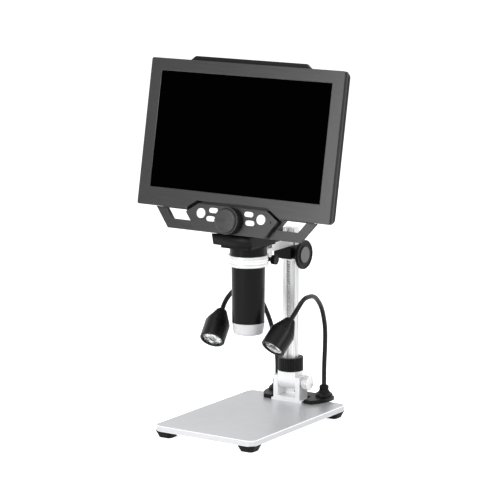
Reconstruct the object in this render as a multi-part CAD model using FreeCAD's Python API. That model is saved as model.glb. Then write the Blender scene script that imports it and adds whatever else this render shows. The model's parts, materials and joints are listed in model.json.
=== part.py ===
import FreeCAD, Part
import math
import os

# A microscope with a 9 inch screen on a rack column, with two gooseneck lamps on its base plate.
# Millimetres, X to the right, Y to the back, Z up. Places are given from the middle of the base plate,
# on the table; the finished pieces are moved so that the origin is under the middle of the footprint.

# Clearances and fasteners
running_gap = 0.05
slide_gap = 0.1
free_gap = 0.3
fit_gap = 0.05
screw_radius = 1.5
screw_head_radius = 2.8
screw_head_height = 1.8
screw_hole_gap = 0.1

# Base plate and feet
plate_width = 117.0
plate_depth = 174.0
plate_thickness = 5.8
plate_corner = 8.0
plate_bevel = 0.6
foot_height = 6.5
foot_top_width = 20.0
foot_bottom_width = 14.0
foot_corner = 5.0
foot_edge_gap = 0.6
foot_recess = 3.0
foot_screw_length = 7.5

# Hinge bracket
hinge_y = 72.0
hinge_rise = 20.5
bracket_depth = 15.6
web_height = 5.0
ear_thickness = 5.1
ear_height = 26.2
foot_flange_reach = 18.0
foot_flange_height = 2.2
rear_wall_thickness = 2.5
rear_wall_height = 12.2
rear_slot_size = (7.0, 2.0)
rear_slot_place = (4.4, 8.2)
bracket_screw_offset = 6.0
bracket_screw_length = 8.6

# Tilt block, its pin, its knob and the collar nut
block_width = 20.6
block_height = 11.2
pin_radius = 2.5
pin_head_radius = 4.5
pin_head_length = 2.0
clamp_knob_radius = 7.0
clamp_knob_length = 6.0
clamp_knob_boss_radius = 4.6
clamp_knob_boss_length = 1.6
clamp_knob_ribs = 26
collet_radius = 10.0
collet_height = 12.5
collet_slit = 1.2
column_socket_depth = 6.8
collar_radius = 13.0
collar_height = 13.7
collar_ribs = 30
collar_rib_depth = 0.6
collar_top_wall = 1.2

# Column and rack
column_width = 15.0
column_depth = 9.0
column_corner = 1.2
column_length = 153.8
slot_width = 4.2
slot_depth = 2.6
gear_module = 0.8
pressure_angle = 20.0
rack_bottom = 95.0
rack_teeth = 36
rack_backlash = 0.06
pinion_teeth = 12
pinion_width = 3.6
pinion_root_gap = 0.25

# Carriage, its liner and the height knob
carriage_width = 20.0
carriage_bottom = 161.5
carriage_height = 13.0
carriage_front = 7.5
carriage_back = 12.0
liner_wall = 1.2
liner_drop = 3.5
drive_rise = 5.0
shaft_radius = 2.5
shaft_blind = 3.0
shaft_boss_radius = 5.5
shaft_boss_length = 2.0
height_knob_radius = 14.75
height_knob_rim = 3.5
height_knob_hub_radius = 4.0
height_knob_hub_length = 7.0
height_knob_groove = (9.2, 13.0, 0.7)
knob_cap_radius = 8.0
knob_cap_height = 1.2

# Barrel holder
arm_width = 16.0
arm_height = 8.5
arm_front = 25.0
arm_back = 64.0
tongue_reach = 9.0
tongue_height = 3.5
ring_center_y = -5.8
ring_wall = 3.1
ring_height = 10.8
ring_bottom = 165.0
ring_split = 1.2
thumb_screw_y = 19.0
thumb_screw_rise = 2.7
thumb_screw_radius = 2.0
thumb_screw_head_radius = 4.7
thumb_screw_head_length = 4.5
thumb_screw_stand_off = 4.5

# Barrel, light ring and lens
barrel_radius = 16.6
barrel_end_radius = 16.0
barrel_bottom = 108.0
barrel_bore = 13.0
neck_radius = 18.3
neck_length = 8.7
diffuser_height = 11.6
diffuser_radius = 16.2
diffuser_end_radius = 14.7
diffuser_wall = 1.5
diffuser_opening = 9.0
spigot_height = 3.0
led_board_thickness = 1.6
led_board_opening = 9.0
led_count = 8
led_size = 1.8
led_circle = 10.2
sleeve_bottom = 119.0
sleeve_length = 31.0
sleeve_wall = 3.0
objective_rim = 1.2
objective_edge = 3.0
objective_bulge = 1.4
focus_bar_width = 2.5
focus_bar_depth = 5.0
focus_bar_top = 222.0

# Head housing
flange_width = 35.0
flange_front = -30.0
flange_back = 18.4
flange_height = 3.1
flange_corner = 3.0
head_width = 42.6
head_front = -33.5
head_back = 21.9
head_shoulder_z = 205.0
head_top_back = 4.0
head_wall = 2.2
head_corner = 4.0
sensor_board_size = (29.0, 34.0, 1.6)
sensor_size = (7.0, 7.0, 1.5)

# Monitor, tilted back; its own axes are across, up and out of the screen
screen_tilt = 11.055
screen_y = -21.08
screen_z = 294.86
window_width = 197.6
window_height = 115.4
bezel_side = 13.2
bezel_width = window_width + 2 * bezel_side
bezel_bottom = -75.6
bezel_top = 69.3
bezel_corner = 5.0
bezel_front = 1.0
bezel_back = -5.0
shell_wall = 2.2
notch_width = 111.0
notch_top_width = 82.0
notch_height = 8.9
glass_overlap = 5.0
glass_thickness = 1.2
lcd_size = (209.0, 124.0, 3.6)
case_edge_back = -9.0
bulge_back = -22.0
bulge_width = 196.0
bulge_bottom = -54.0
bulge_top = 57.0
bulge_draft = 6.0
tab_width = 141.4
tab_top_width = 128.0
tab_height = 5.2
vent_count = 9
vent_size = (28.0, 2.0)
vent_pitch = 6.0
vent_bottom = -4.0
case_screw_radius = 0.9
case_screw_head_radius = 1.9
case_screw_head_height = 1.0
case_screw_boss_radius = 2.3
case_screw_side = 4.6
case_screw_rows = (-58.0, 0.0, 58.0)
main_board_size = (130.0, 64.0, 1.6)
board_post_radius = 3.0
board_post_inset = 6.0
board_post_height = 6.0
battery_size = (70.0, 24.0, 5.0)
battery_b = -33.0

# Wing frame, control panel, buttons and focus dial, in the monitor's axes
frame_back = -12.2
frame_front = -6.7
frame_bottom = -96.5
frame_top = -75.9
frame_flange_top = -58.0
frame_top_width = 188.0
frame_bottom_width = 154.0
frame_flange_width = 120.0
window_outline = ((60.0, -76.6), (78.0, -76.6), (70.0, -86.6), (51.5, -86.6))
panel_top = -70.0
panel_bottom = -96.0
panel_flat_width = 82.0
panel_point_width = 110.6
panel_point_b = -78.6
panel_wall = 2.0
panel_side_wall = 1.4
button_proud = 0.8
button_travel = 0.8
button_gap = 0.2
button_flange = 0.5
button_flange_height = 0.7
round_button_radius = 4.9
pill_length = 10.0
pill_width = 5.0
round_button_place = (34.9, -78.5)
upper_pill_place = (20.5, -74.7)
lower_pill_place = (22.8, -83.0)
switch_size = 3.0
button_board_size = (78.0, 20.0)
button_board_thickness = 1.6
microphone_place = (45.8, -80.0)
microphone_radius = 0.7
dial_b = -83.1
dial_radius = 13.5
dial_gap = 0.3
dial_rim_height = 8.2
dial_height = 10.7
dial_teeth = 34
dial_tooth_depth = 0.7
dial_face_radius = 11.6
focus_shaft_radius = 2.0
focus_shaft_blind = 4.0
roller_radius = 4.0
roller_width = 4.0
roller_crown = 0.3
roller_depth = -26.0

# Lamps: base, strain reliefs, gooseneck route and head
lamp_base_radius = 37.5
lamp_base_y = 90.5
lamp_base_front = 66.0
lamp_base_back = 97.0
lamp_base_height = 4.0
lamp_base_notch = (19.5, 81.5)
pod_radius = 9.0
pod_height = 3.7
pod_round = 2.5
lamp_base_screw_place = (27.0, 77.0)
lamp_base_screw_length = 7.2
relief_flare_radius = 6.6
relief_radius = 4.7
relief_flare_height = 3.5
relief_height = 7.5
neck_tube_radius = 2.35
neck_sink = 4.0
neck_entry = 5.0
neck_route = (
    (28.2, 91.4, 27.0),
    (28.2, 91.4, 48.0),
    (30.2, 89.8, 68.0),
    (33.4, 84.8, 90.4),
    (36.5, 72.6, 114.0),
    (39.8, 52.6, 129.0),
    (41.5, 31.0, 129.6),
    (42.5, 16.6, 120.6),
    (40.8, 8.2, 112.2),
)
neck_bend_share = 0.45
lamp_radius = 12.6
lamp_body_length = 20.5
lamp_groove = (1.0, 1.2)
lamp_cone_length = 14.4
lamp_cone_radius = 11.6
lamp_tip_radius = 4.5
lamp_fins = 6
lamp_fin_height = 1.1
lamp_rim = 2.5
lamp_lens_recess = 1.4
lamp_lens_thickness = 2.0
lamp_cavity_depth = 6.0
lamp_led_count = 8
lamp_led_size = 2.2

# Levels that follow from the sizes above
plate_top = foot_height + plate_thickness
hinge_z = plate_top + hinge_rise
web_top = plate_top + web_height
block_top = hinge_z + block_height
ear_inner = block_width / 2 + slide_gap * 2
ear_outer = ear_inner + ear_thickness
column_front = hinge_y - column_depth / 2
column_bottom = block_top - column_socket_depth
column_top = column_bottom + column_length
pitch = math.pi * gear_module
rack_pitch_y = column_front + gear_module
pinion_pitch_radius = gear_module * pinion_teeth / 2
pinion_y = rack_pitch_y - pinion_pitch_radius
pinion_z = carriage_bottom + drive_rise
carriage_top = carriage_bottom + carriage_height
ring_top = ring_bottom + ring_height
ring_bore = barrel_radius + slide_gap
neck_top = ring_top + neck_length
flange_top = neck_top + flange_height
lamp_base_top = plate_top + lamp_base_height
pod_top = lamp_base_top + pod_height
rear_overhang = lamp_base_back - plate_depth / 2

X_AXIS = FreeCAD.Vector(1, 0, 0)
Y_AXIS = FreeCAD.Vector(0, 1, 0)
Z_AXIS = FreeCAD.Vector(0, 0, 1)
ORIGIN = FreeCAD.Vector(0, 0, 0)
monitor_place = FreeCAD.Placement(
    FreeCAD.Vector(0, screen_y, screen_z),
    FreeCAD.Rotation(X_AXIS, 90 - screen_tilt),
)


def point(x, y, z):
    return FreeCAD.Vector(x, y, z)


def block(x_range, y_range, z_range):
    """A box between two values on each axis."""
    solid = Part.makeBox(x_range[1] - x_range[0], y_range[1] - y_range[0], z_range[1] - z_range[0])
    solid.translate(point(x_range[0], y_range[0], z_range[0]))
    return solid


def centred_block(size_x, size_y, z_range, center=(0.0, 0.0)):
    """A box centred on a place, between two heights."""
    x, y = center
    return block((x - size_x / 2, x + size_x / 2), (y - size_y / 2, y + size_y / 2), z_range)


def rod(radius, start, end):
    """A round bar from one point to another."""
    run = end - start
    return Part.makeCylinder(radius, run.Length, start, run)


def tube(outer, inner, start, end):
    """A round tube from one point to another."""
    return rod(outer, start, end).cut(rod(inner, start, end))


def outline(corners, radii=0.0):
    """A closed flat outline through corner points, each rounded by its radius."""
    if not isinstance(radii, (tuple, list)):
        radii = [radii] * len(corners)
    corners = [point(x, y, 0) for x, y in corners]
    edges = []
    starts = []
    ends = []
    for i, corner in enumerate(corners):
        before = (corners[i - 1] - corner).normalize()
        after = (corners[(i + 1) % len(corners)] - corner).normalize()
        half = before.getAngle(after) / 2
        reach = radii[i] / math.tan(half)
        starts.append(corner + before * reach)
        ends.append(corner + after * reach)
        if radii[i] > 0:
            inward = (before + after).normalize()
            middle = corner + inward * (radii[i] / math.sin(half) - radii[i])
            edges.append(Part.Arc(starts[i], middle, ends[i]).toShape())
        following = corners[(i + 1) % len(corners)]
        next_in = (corner - following).normalize()
        next_out = (corners[(i + 2) % len(corners)] - following).normalize()
        next_reach = radii[(i + 1) % len(corners)] / math.tan(next_in.getAngle(next_out) / 2)
        edges.append(Part.makeLine(ends[i], following + next_in * next_reach))
    return Part.Wire(edges)


def rectangle(x_range, y_range):
    """The four corners of a rectangle."""
    return [
        (x_range[0], y_range[0]),
        (x_range[1], y_range[0]),
        (x_range[1], y_range[1]),
        (x_range[0], y_range[1]),
    ]


def plate(corners, z_range, radii=0.0):
    """A flat plate with the given outline between two heights."""
    face = Part.Face(outline(corners, radii))
    face.translate(point(0, 0, z_range[0]))
    return face.extrude(point(0, 0, z_range[1] - z_range[0]))


def side_plate(corners, half_width, radii=0.0):
    """A solid with a side profile in Y and Z, centred on X."""
    solid = plate(corners, (-half_width, half_width), radii)
    return moved(solid, FreeCAD.Placement(ORIGIN, FreeCAD.Rotation(point(1, 1, 1), 120)))


def turned(profile, base=ORIGIN, axis=Z_AXIS):
    """A solid of revolution from radius and height pairs, about an axis through a point."""
    corners = [point(radius, 0, height) for radius, height in profile]
    face = Part.Face(Part.makePolygon(corners + [corners[0]]))
    solid = face.revolve(ORIGIN, Z_AXIS, 360)
    return moved(solid, FreeCAD.Placement(base, FreeCAD.Rotation(Z_AXIS, axis)))


def ribbed(outer, depth, count, z_range, top_share=0.5):
    """A disc whose rim has straight ribs all round."""
    step = 2 * math.pi / count
    corners = []
    for i in range(count):
        for radius, share in ((outer - depth, -0.5), (outer, -0.5 * top_share), (outer, 0.5 * top_share)):
            angle = step * (i + share)
            corners.append((radius * math.cos(angle), radius * math.sin(angle)))
    return plate(corners, z_range)


def moved(shape, placement):
    """A copy of a shape carried by a placement."""
    copy = shape.copy()
    copy.Placement = placement.multiply(copy.Placement)
    return copy


def mirrored(shape):
    """The same shape on the other side of the middle plane."""
    return shape.mirror(ORIGIN, X_AXIS)


def both_sides(shape):
    """A shape and its mirror image."""
    return [shape, mirrored(shape)]


def joined(shapes):
    """One solid from pieces that touch."""
    whole = shapes[0]
    for shape in shapes[1:]:
        whole = whole.fuse(shape)
    return whole.removeSplitter()


def screw(head_at, direction, length, radius=screw_radius, head_radius=screw_head_radius,
          head_height=screw_head_height):
    """A plain screw whose head ends at a point and whose shank runs on from there."""
    along = point(*direction)
    shank = rod(radius, head_at, head_at + along * length)
    head = rod(head_radius, head_at - along * head_height, head_at)
    return head.fuse(shank).removeSplitter()


def screw_hole(head_at, direction, length, radius=screw_radius):
    """The hole for a screw's shank."""
    along = point(*direction)
    return rod(radius + screw_hole_gap, head_at, head_at + along * length)


def screw_recess(head_at, direction, depth, radius=screw_head_radius):
    """The round recess that a screw's head lies in."""
    along = point(*direction)
    return rod(radius + screw_hole_gap, head_at - along * depth, head_at)


def base_plate():
    """The aluminium base plate with its bevelled edges and screw holes."""
    corners = rectangle((-plate_width / 2, plate_width / 2), (-plate_depth / 2, plate_depth / 2))
    solid = plate(corners, (foot_height, plate_top), plate_corner)
    rims = [edge for edge in solid.Edges if abs(edge.Vertexes[0].Z - edge.Vertexes[-1].Z) < fit_gap]
    solid = solid.makeChamfer(plate_bevel, rims)
    for x, y in foot_places():
        solid = solid.cut(screw_hole(point(x, y, foot_recess), (0, 0, 1), foot_screw_length))
    for head_at, length in plate_screws():
        solid = solid.cut(screw_hole(head_at, (0, 0, 1), length))
        solid = solid.cut(screw_recess(head_at, (0, 0, 1), head_at.z - foot_height))
    return solid


def foot_places():
    """The middle of each foot."""
    x = plate_width / 2 - foot_edge_gap - foot_top_width / 2
    y = plate_depth / 2 - foot_edge_gap - foot_top_width / 2
    return [(side * x, end * y) for side in (-1, 1) for end in (-1, 1)]


def plate_screws():
    """The head seat and length of each screw that comes up through the base plate."""
    seat = foot_height + screw_head_height + fit_gap
    screws = []
    for side in (-1, 1):
        screws.append((point(side * bracket_screw_offset, hinge_y, seat), bracket_screw_length))
        x, y = lamp_base_screw_place
        screws.append((point(side * x, y, seat), lamp_base_screw_length))
    return screws


def base_feet():
    """Four tapered rubber feet, each with a recess for its screw."""
    feet = []
    for x, y in foot_places():
        sections = []
        for width, z in ((foot_bottom_width, 0.0), (foot_top_width, foot_height)):
            section = outline(rectangle((x - width / 2, x + width / 2), (y - width / 2, y + width / 2)),
                              foot_corner * width / foot_top_width)
            section.translate(point(0, 0, z))
            sections.append(section)
        foot = Part.makeLoft(sections, True, True)
        foot = foot.cut(screw_recess(point(x, y, foot_recess), (0, 0, 1), foot_recess))
        feet.append(foot.cut(screw_hole(point(x, y, foot_recess), (0, 0, 1), foot_screw_length)))
    return feet


def foot_screws():
    """The four screws that hold the feet."""
    return [screw(point(x, y, foot_recess), (0, 0, 1), foot_screw_length - screw_hole_gap)
            for x, y in foot_places()]


def hinge_bracket():
    """The U-shaped bracket with two ears, a web, small foot flanges and a low rear wall."""
    y_range = (hinge_y - bracket_depth / 2, hinge_y + bracket_depth / 2)
    pieces = [block((-foot_flange_reach, foot_flange_reach), y_range,
                    (plate_top, plate_top + foot_flange_height)),
              block((-ear_outer, ear_outer), y_range, (plate_top, web_top))]
    for side in (-1, 1):
        x_range = sorted((side * ear_inner, side * ear_outer))
        pieces.append(block(x_range, y_range, (plate_top, plate_top + ear_height)))
    pieces.append(block((-ear_inner, ear_inner), (y_range[1] - rear_wall_thickness, y_range[1]),
                        (plate_top, plate_top + rear_wall_height)))
    solid = joined(pieces)
    slot_x, slot_rise = rear_slot_place
    slot_z = plate_top + slot_rise
    solid = solid.cut(block((slot_x - rear_slot_size[0] / 2, slot_x + rear_slot_size[0] / 2),
                            (y_range[1] - rear_wall_thickness - free_gap, y_range[1] + free_gap),
                            (slot_z - rear_slot_size[1] / 2, slot_z + rear_slot_size[1] / 2)))
    reach = ear_outer + free_gap
    solid = solid.cut(rod(pin_radius + running_gap, point(-reach, hinge_y, hinge_z),
                          point(reach, hinge_y, hinge_z)))
    for head_at, length in plate_screws()[::2]:
        solid = solid.cut(screw_hole(head_at, (0, 0, 1), length))
    return solid


def bracket_screws():
    """The two screws that hold the bracket from below."""
    return [screw(head_at, (0, 0, 1), length - screw_hole_gap) for head_at, length in plate_screws()[::2]]


def lamp_base_screws():
    """The two screws that hold the lamp base from below."""
    return [screw(head_at, (0, 0, 1), length - screw_hole_gap) for head_at, length in plate_screws()[1::2]]


def tilt_block():
    """The block that tilts in the bracket, with its round underside and slotted collet."""
    half_depth = bracket_depth / 2
    half_width = block_width / 2
    body = block((-half_width, half_width), (hinge_y - half_depth, hinge_y + half_depth), (hinge_z, block_top))
    barrel = rod(half_depth, point(-half_width, hinge_y, hinge_z), point(half_width, hinge_y, hinge_z))
    collet = rod(collet_radius, point(0, hinge_y, block_top), point(0, hinge_y, block_top + collet_height))
    solid = joined([body, barrel, collet])
    socket = column_profile(fit_gap, (column_bottom, block_top + collet_height + free_gap))
    solid = solid.cut(socket)
    for size_x, size_y in ((collet_slit, 3 * collet_radius), (3 * collet_radius, collet_slit)):
        solid = solid.cut(centred_block(size_x, size_y, (block_top + collet_slit,
                                                         block_top + collet_height + free_gap), (0, hinge_y)))
    return solid.cut(rod(pin_radius + running_gap, point(-half_width - free_gap, hinge_y, hinge_z),
                         point(half_width + free_gap, hinge_y, hinge_z)))


def column_profile(gap, z_range):
    """The outer form of the column, grown by a gap on every side."""
    half_x = column_width / 2 + gap
    half_y = column_depth / 2 + gap
    return plate(rectangle((-half_x, half_x), (hinge_y - half_y, hinge_y + half_y)), z_range,
                 column_corner + gap)


def column():
    """The aluminium column with a slot down its front."""
    solid = column_profile(0.0, (column_bottom, column_top))
    slot = block((-slot_width / 2, slot_width / 2), (column_front - free_gap, column_front + slot_depth),
                 (column_bottom - free_gap, column_top + free_gap))
    return solid.cut(slot)


def column_rack():
    """The rack that lies in the column's slot, with a tooth space level with the pinion."""
    slope = math.tan(math.radians(pressure_angle))
    tip_y = column_front
    root_y = rack_pitch_y + gear_module * (1 + pinion_root_gap)
    back_y = column_front + slot_depth
    half_tip = pitch / 4 - gear_module * slope - rack_backlash
    half_root = pitch / 4 + (root_y - rack_pitch_y) * slope - rack_backlash
    steps = math.ceil((pinion_z - rack_bottom) / pitch)
    first = pinion_z - (steps - 0.5) * pitch
    corners = [(back_y, first - pitch / 2)]
    for i in range(rack_teeth):
        z = first + i * pitch
        corners += [(root_y, z - half_root), (tip_y, z - half_tip), (tip_y, z + half_tip), (root_y, z + half_root)]
    corners.insert(1, (root_y, first - pitch / 2))
    last = first + (rack_teeth - 0.5) * pitch
    corners += [(root_y, last), (back_y, last)]
    return side_plate(corners, slot_width / 2 - slide_gap)


def column_collar():
    """The ribbed nut that closes the collet round the column."""
    bottom = block_top
    top = block_top + collar_height
    solid = moved(ribbed(collar_radius, collar_rib_depth, collar_ribs, (bottom, top)),
                  FreeCAD.Placement(point(0, hinge_y, 0), FreeCAD.Rotation()))
    bore = rod(collet_radius + slide_gap, point(0, hinge_y, bottom - free_gap),
               point(0, hinge_y, top - collar_top_wall))
    mouth_radius = math.hypot(column_width, column_depth) / 2 + free_gap
    mouth = rod(mouth_radius, point(0, hinge_y, bottom), point(0, hinge_y, top + free_gap))
    return solid.cut(bore).cut(mouth)


def tilt_pin():
    """The pin through both ears and the tilt block, with a flat head on the left."""
    head_end = -ear_outer - pin_head_length
    end = ear_outer + clamp_knob_boss_length + clamp_knob_length / 2
    shank = rod(pin_radius, point(-ear_outer, hinge_y, hinge_z), point(end, hinge_y, hinge_z))
    head = rod(pin_head_radius, point(head_end, hinge_y, hinge_z), point(-ear_outer, hinge_y, hinge_z))
    return joined([shank, head])


def tilt_clamp_knob():
    """The ribbed silver knob on the end of the pin."""
    inner = ear_outer
    face = inner + clamp_knob_boss_length
    disc = ribbed(clamp_knob_radius, collar_rib_depth, clamp_knob_ribs, (0, clamp_knob_length))
    disc = moved(disc, FreeCAD.Placement(point(face, hinge_y, hinge_z), FreeCAD.Rotation(Z_AXIS, X_AXIS)))
    boss = rod(clamp_knob_boss_radius, point(inner, hinge_y, hinge_z), point(face, hinge_y, hinge_z))
    bore_end = face + clamp_knob_length / 2
    bore = rod(pin_radius + fit_gap, point(inner - free_gap, hinge_y, hinge_z), point(bore_end, hinge_y, hinge_z))
    return joined([disc, boss]).cut(bore)


def carriage():
    """The black block that slides on the column and carries the pinion."""
    half = carriage_width / 2
    solid = block((-half, half), (pinion_y - carriage_front, hinge_y + carriage_back),
                  (carriage_bottom, carriage_top))
    boss = rod(shaft_boss_radius, point(half, pinion_y, pinion_z), point(half + shaft_boss_length, pinion_y, pinion_z))
    solid = joined([solid, boss])
    solid = solid.cut(column_profile(liner_gap() + liner_wall, (carriage_bottom - free_gap, carriage_top + free_gap)))
    solid = solid.cut(pinion_room())
    solid = solid.cut(rod(shaft_radius + running_gap, point(-half + shaft_blind, pinion_y, pinion_z),
                          point(half + shaft_boss_length + free_gap, pinion_y, pinion_z)))
    for x, y in arm_screw_places():
        solid = solid.cut(screw_hole(point(x, y, carriage_top), (0, 0, -1), arm_screw_length() - arm_height
                                     + screw_head_height))
    return solid


def liner_gap():
    """How far the liner stands off the column."""
    return slide_gap


def pinion_room():
    """The room that the pinion turns in, open to the rack."""
    half = pinion_width / 2 + free_gap
    radius = pinion_pitch_radius + gear_module + free_gap
    room = rod(radius, point(-half, pinion_y, pinion_z), point(half, pinion_y, pinion_z))
    return room


def carriage_liner():
    """The silver sleeve between the carriage and the column."""
    z_range = (carriage_bottom - liner_drop, carriage_top)
    solid = column_profile(liner_gap() + liner_wall - fit_gap, z_range)
    solid = solid.cut(column_profile(liner_gap(), (z_range[0] - free_gap, z_range[1] + free_gap)))
    reach = pinion_pitch_radius + gear_module
    window = centred_block(pinion_width + 2 * free_gap, column_depth, (pinion_z - reach, pinion_z + reach),
                           (0, column_front - liner_wall))
    return solid.cut(window)


def arm_screw_places():
    """Where the two screws go down through the arm into the carriage."""
    y = arm_back - screw_head_radius - fit_gap * 2
    return [(side * (arm_width / 2 - screw_head_radius - fit_gap * 2), y) for side in (-1, 1)]


def arm_screw_length():
    """The length of the screws that hold the arm to the carriage."""
    return arm_height - screw_head_height + shaft_blind


def tongue_screw_place():
    """Where the screw goes down through the arm's tongue into the ring's clamp block."""
    return (-arm_width / 4, arm_front - tongue_reach / 2)


def holder_arm():
    """The silver arm on the carriage, with a low tongue on the ring's clamp block."""
    half = arm_width / 2
    body = block((-half, half), (arm_front, arm_back), (carriage_top, carriage_top + arm_height))
    tongue = block((-half, half), (arm_front - tongue_reach, arm_front),
                   (carriage_top, carriage_top + tongue_height))
    solid = joined([body, tongue])
    for x, y in arm_screw_places():
        seat = point(x, y, carriage_top + arm_height - screw_head_height)
        solid = solid.cut(screw_hole(seat, (0, 0, -1), arm_height))
        solid = solid.cut(screw_recess(seat, (0, 0, -1), screw_head_height + free_gap))
    x, y = tongue_screw_place()
    seat = point(x, y, carriage_top + tongue_height - screw_head_height)
    solid = solid.cut(screw_hole(seat, (0, 0, -1), arm_height))
    return solid.cut(screw_recess(seat, (0, 0, -1), screw_head_height + free_gap))


def arm_screws():
    """The screws that hold the arm at both ends."""
    screws = []
    for x, y in arm_screw_places():
        seat = point(x, y, carriage_top + arm_height - screw_head_height)
        screws.append(screw(seat, (0, 0, -1), arm_screw_length()))
    x, y = tongue_screw_place()
    seat = point(x, y, carriage_top + tongue_height - screw_head_height)
    screws.append(screw(seat, (0, 0, -1), tongue_height + screw_head_height))
    return screws


def holder_ring():
    """The split ring that holds the barrel, with its clamp block at the back."""
    outer = ring_bore + ring_wall
    collar = rod(outer, point(0, ring_center_y, ring_bottom), point(0, ring_center_y, ring_top))
    lugs = block((-arm_width / 2, arm_width / 2), (ring_center_y + ring_bore, arm_front),
                 (ring_bottom, carriage_top))
    solid = joined([collar, lugs])
    solid = solid.cut(rod(ring_bore, point(0, ring_center_y, ring_bottom - free_gap),
                          point(0, ring_center_y, ring_top + free_gap)))
    solid = solid.cut(block((-ring_split / 2, ring_split / 2), (ring_center_y, arm_front + free_gap),
                            (ring_bottom - free_gap, ring_top + free_gap)))
    x, y = tongue_screw_place()
    solid = solid.cut(screw_hole(point(x, y, carriage_top), (0, 0, -1), 2 * screw_head_height + screw_hole_gap))
    z = ring_bottom + thumb_screw_rise
    return solid.cut(rod(thumb_screw_radius + running_gap, point(-arm_width / 4 - running_gap, thumb_screw_y, z),
                         point(arm_width, thumb_screw_y, z)))


def ring_thumb_screw():
    """The black thumb screw that closes the ring."""
    z = ring_bottom + thumb_screw_rise
    head_start = arm_width / 2 + thumb_screw_stand_off
    shank = rod(thumb_screw_radius, point(-arm_width / 4, thumb_screw_y, z), point(head_start, thumb_screw_y, z))
    head = ribbed(thumb_screw_head_radius, collar_rib_depth, clamp_knob_ribs, (0, thumb_screw_head_length))
    head = moved(head, FreeCAD.Placement(point(head_start, thumb_screw_y, z), FreeCAD.Rotation(Z_AXIS, X_AXIS)))
    return joined([shank, head])


def involute(radius):
    """The turn of an involute flank at a radius."""
    base = pinion_pitch_radius * math.cos(math.radians(pressure_angle))
    angle = math.acos(min(1.0, base / radius))
    return math.tan(angle) - angle


def pinion_shaft():
    """The shaft with its twelve-toothed pinion cut on it."""
    root = pinion_pitch_radius - gear_module * (1 + pinion_root_gap)
    tip = pinion_pitch_radius + gear_module
    half_tooth = math.pi / (2 * pinion_teeth) - rack_backlash / pinion_pitch_radius
    flank = [root, pinion_pitch_radius - gear_module / 2, pinion_pitch_radius, pinion_pitch_radius
             + gear_module / 2, tip]
    corners = []
    for i in range(pinion_teeth):
        middle = 2 * math.pi * i / pinion_teeth + math.pi / 2
        rising = [(r, middle - half_tooth - involute(pinion_pitch_radius) + involute(r)) for r in flank]
        falling = [(r, 2 * middle - angle) for r, angle in reversed(rising)]
        for radius, angle in rising + falling:
            corners.append((radius * math.cos(angle), radius * math.sin(angle)))
    gear = plate(corners, (-pinion_width / 2, pinion_width / 2))
    gear = moved(gear, FreeCAD.Placement(ORIGIN, FreeCAD.Rotation(point(1, 1, 1), 120)))
    gear.translate(point(0, pinion_y, pinion_z))
    start = -carriage_width / 2 + shaft_blind + fit_gap
    shaft = rod(shaft_radius, point(start, pinion_y, pinion_z), point(knob_start() + height_knob_hub_length,
                                                                      pinion_y, pinion_z))
    return joined([gear, shaft])


def knob_start():
    """Where the height knob's hub starts, beside the carriage's boss."""
    return carriage_width / 2 + shaft_boss_length + slide_gap


def height_knob():
    """The large knob on the right, with a ring groove in its face."""
    hub_end = height_knob_hub_length
    face = hub_end + height_knob_rim
    groove_in, groove_out, groove_depth = height_knob_groove
    edge = 0.8
    profile = [(0, 0), (height_knob_hub_radius, 0), (height_knob_hub_radius, hub_end),
               (height_knob_radius - edge, hub_end), (height_knob_radius, hub_end + edge),
               (height_knob_radius, face - edge), (height_knob_radius - edge, face), (groove_out, face),
               (groove_out - groove_depth, face - groove_depth), (groove_in, face - groove_depth),
               (groove_in, face), (knob_cap_radius + fit_gap, face), (knob_cap_radius + fit_gap, face
                                                                      - knob_cap_height), (0, face - knob_cap_height)]
    solid = turned(profile, point(knob_start(), pinion_y, pinion_z), X_AXIS)
    bore = rod(shaft_radius + fit_gap, point(0, pinion_y, pinion_z),
               point(knob_start() + height_knob_hub_length, pinion_y, pinion_z))
    return solid.cut(bore)


def knob_cap():
    """The lighter disc in the middle of the height knob."""
    face = knob_start() + height_knob_hub_length + height_knob_rim
    return rod(knob_cap_radius, point(face - knob_cap_height, pinion_y, pinion_z), point(face, pinion_y, pinion_z))


def barrel_tube():
    """The tapered black barrel whose wider neck rests on the holder ring."""
    profile = [(barrel_bore, barrel_bottom), (barrel_end_radius, barrel_bottom), (barrel_radius, ring_bottom
               - slide_gap), (barrel_radius, ring_top), (neck_radius, ring_top), (neck_radius, neck_top),
               (barrel_bore, neck_top)]
    return turned(profile, point(0, ring_center_y, 0))


def diffuser():
    """The translucent cap over the light ring, open in the middle."""
    bottom = barrel_bottom - diffuser_height
    spigot = barrel_bore - fit_gap
    inner = diffuser_radius - diffuser_wall - spigot_wall()
    round_off = 1.2
    profile = [(diffuser_opening, bottom), (diffuser_end_radius - round_off, bottom),
               (diffuser_end_radius, bottom + round_off), (diffuser_radius, barrel_bottom), (spigot, barrel_bottom),
               (spigot, barrel_bottom + spigot_height), (inner, barrel_bottom + spigot_height),
               (inner, bottom + diffuser_wall), (diffuser_opening, bottom + diffuser_wall)]
    return turned(profile, point(0, ring_center_y, 0))


def spigot_wall():
    """How much further in the diffuser's spigot lies than its outer wall."""
    return diffuser_radius - barrel_bore


def led_ring():
    """The ring-shaped board with its lights, lying on the diffuser's spigot."""
    bottom = barrel_bottom + spigot_height
    board = tube(barrel_bore - fit_gap, led_board_opening, point(0, ring_center_y, bottom),
                 point(0, ring_center_y, bottom + led_board_thickness))
    pieces = [board]
    for i in range(led_count):
        angle = 2 * math.pi * i / led_count
        center = (led_circle * math.cos(angle), ring_center_y + led_circle * math.sin(angle))
        pieces.append(centred_block(led_size, led_size, (bottom - led_size / 2, bottom), center))
    return joined(pieces)


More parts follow.
